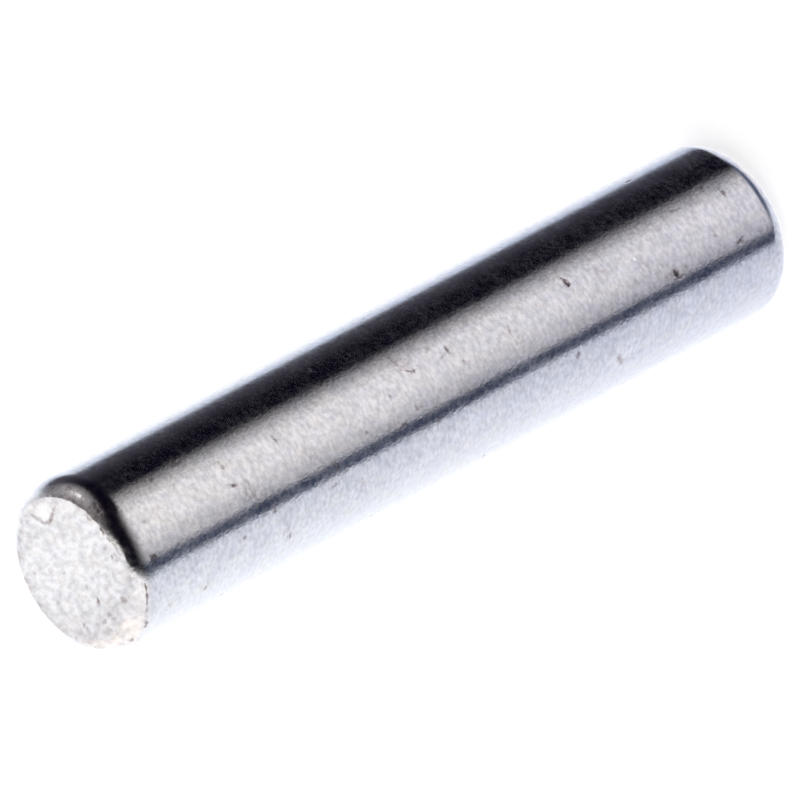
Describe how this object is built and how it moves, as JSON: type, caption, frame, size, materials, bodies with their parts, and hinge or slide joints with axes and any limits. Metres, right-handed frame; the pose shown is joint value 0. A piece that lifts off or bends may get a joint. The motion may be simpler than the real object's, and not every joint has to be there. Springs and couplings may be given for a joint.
{
  "type": "dowel pin",
  "caption": "Plain round steel dowel pin with flat end faces and rounded edges, for locating two parts in one shared hole.",
  "frame": {"origin": "centre of the bottom end face, which the pin stands on", "axes": "+Z along the pin's axis, from the bottom face to the top face; the pin is round, so +X and +Y are free"},
  "size_m": [0.004, 0.004, 0.02],
  "materials": {
    "ground_steel": "ground shank, tumbled ends, with a few small pits"
  },
  "bodies": {
    "root": {"pin": "ground_steel"}
  },
  "joints": []
}
